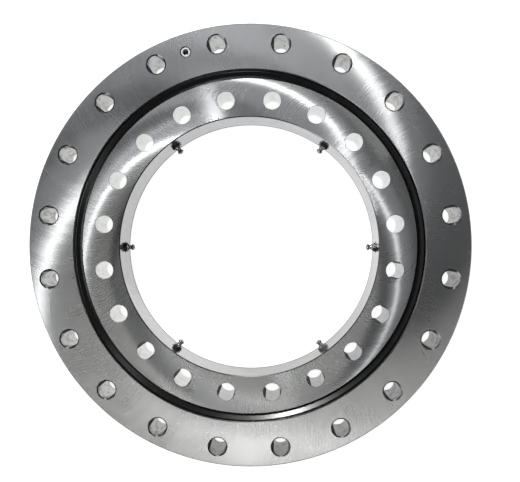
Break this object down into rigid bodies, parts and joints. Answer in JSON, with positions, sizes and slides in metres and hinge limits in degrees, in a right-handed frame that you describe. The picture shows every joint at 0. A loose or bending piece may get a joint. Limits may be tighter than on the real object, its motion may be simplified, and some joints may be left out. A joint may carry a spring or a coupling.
{
  "type": "slewing ring bearing",
  "caption": "Ungeared slewing ring: an outer and an inner drilled steel ring turn on caged balls, with rubber face seals and grease nipples in the bore.",
  "frame": {"origin": "on the axis of rotation, in the plane of the rings' lower faces", "axes": "+Z along the axis of rotation, out of the face that the picture shows; +X through a grease nipple, to the right in the picture; the loading plug is 108 degrees round from +X towards +Y"},
  "size_m": [0.448, 0.448, 0.06],
  "materials": {
    "ring_steel": "turned faces with a fine circular grain",
    "pin_steel": "ground, bright",
    "fitting_steel": "zinc-plated, satin",
    "cage_steel": "pressed strip, oiled",
    "ball_steel": "lapped, bright",
    "seal_rubber": "black nitrile rubber, slightly glossy"
  },
  "bodies": {
    "outer_ring": {"outer_ring": "ring_steel", "loading_plug": "ring_steel", "plug_pin": "pin_steel"},
    "inner_ring": {"inner_ring": "ring_steel", "upper_seal": "seal_rubber", "lower_seal": "seal_rubber", "grease_nipple_1": "fitting_steel", "grease_nipple_2": "fitting_steel", "grease_nipple_3": "fitting_steel", "grease_nipple_4": "fitting_steel", "grease_nipple_5": "fitting_steel", "grease_nipple_6": "fitting_steel"},
    "ball_set": {"ball_cage": "cage_steel", "ball_01": "ball_steel", "ball_02": "ball_steel", "ball_03": "ball_steel", "ball_04": "ball_steel", "ball_05": "ball_steel", "ball_06": "ball_steel", "ball_07": "ball_steel", "ball_08": "ball_steel", "ball_09": "ball_steel", "ball_10": "ball_steel", "ball_11": "ball_steel", "ball_12": "ball_steel", "ball_13": "ball_steel", "ball_14": "ball_steel", "ball_15": "ball_steel", "ball_16": "ball_steel", "ball_17": "ball_steel", "ball_18": "ball_steel", "ball_19": "ball_steel", "ball_20": "ball_steel", "ball_21": "ball_steel", "ball_22": "ball_steel", "ball_23": "ball_steel", "ball_24": "ball_steel", "ball_25": "ball_steel", "ball_26": "ball_steel", "ball_27": "ball_steel", "ball_28": "ball_steel", "ball_29": "ball_steel", "ball_30": "ball_steel", "ball_31": "ball_steel", "ball_32": "ball_steel"}
  },
  "joints": [
    {"name": "ring_rotation", "type": "hinge", "parent": "outer_ring", "child": "inner_ring", "pos_m": [0, 0, 0.03], "axis": [0, 0, 1], "continuous": true},
    {"name": "ball_set_rotation", "type": "hinge", "parent": "outer_ring", "child": "ball_set", "pos_m": [0, 0, 0.03], "axis": [0, 0, 1], "continuous": true}
  ],
  "couplings": [
    {"joint": "ball_set_rotation", "follows": "ring_rotation", "ratio": 0.4751}
  ]
}
